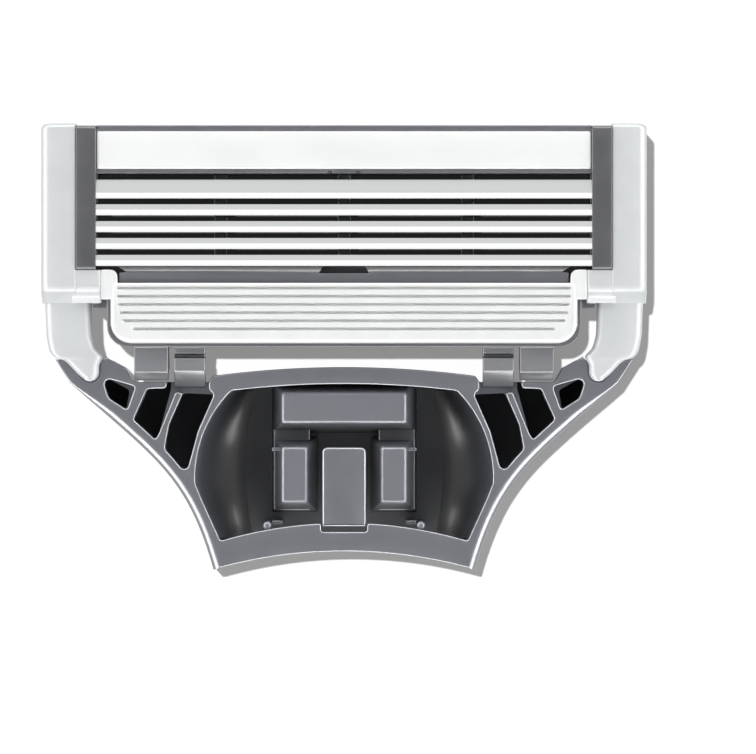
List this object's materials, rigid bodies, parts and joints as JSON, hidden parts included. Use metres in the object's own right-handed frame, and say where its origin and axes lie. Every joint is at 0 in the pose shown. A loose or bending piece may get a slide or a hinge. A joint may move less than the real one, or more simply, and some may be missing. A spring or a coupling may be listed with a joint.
{
  "type": "razor cartridge",
  "caption": "Blade cartridge for a wet razor: pivoting blade unit on elastomer hinge arms, with a fanned connector that plugs on to a handle.",
  "frame": {"origin": "middle of the object's box, on the plane it rests on", "axes": "+X along the blades, +Y from the handle end to the lubricated end, +Z from the back to the shaving face"},
  "size_m": [0.042, 0.031, 0.0084],
  "materials": {
    "dark_plastic": "satin",
    "grey_plastic": "satin",
    "pale_elastomer": "matte",
    "guard_elastomer": "matte",
    "lubricating_strip": "satin",
    "clip_metal": "satin",
    "blade_steel": "brushed",
    "support_steel": "brushed"
  },
  "bodies": {
    "connector": {"connector": "grey_plastic"},
    "blade_unit": {"housing": "dark_plastic", "lubricating_strip": "lubricating_strip", "guard": "guard_elastomer", "clip_left": "clip_metal", "clip_right": "clip_metal", "end_cap_left": "pale_elastomer", "end_cap_right": "pale_elastomer", "hinge_arm_left": "pale_elastomer", "hinge_arm_right": "pale_elastomer", "blade_1": "blade_steel", "blade_2": "blade_steel", "blade_3": "blade_steel", "blade_4": "blade_steel", "blade_5": "blade_steel", "blade_support_1": "support_steel", "blade_support_2": "support_steel", "blade_support_3": "support_steel", "blade_support_4": "support_steel", "blade_support_5": "support_steel"},
    "latch_tongue": {"latch_tongue": "grey_plastic"}
  },
  "joints": [
    {"name": "head_pivot", "type": "hinge", "parent": "connector", "child": "blade_unit", "pos_m": [0, 0.0004, 0.0059], "axis": [-1, 0, 0], "range_deg": [0, 30], "stiffness_Nm_per_rad": 0.02, "springref_deg": -5.73, "deforming": ["hinge_arm_left", "hinge_arm_right"]},
    {"name": "latch_flex", "type": "hinge", "parent": "connector", "child": "latch_tongue", "pos_m": [0, -0.01237, 0.0054], "axis": [-1, 0, 0], "range_deg": [0, 6], "stiffness_Nm_per_rad": 0.03}
  ]
}
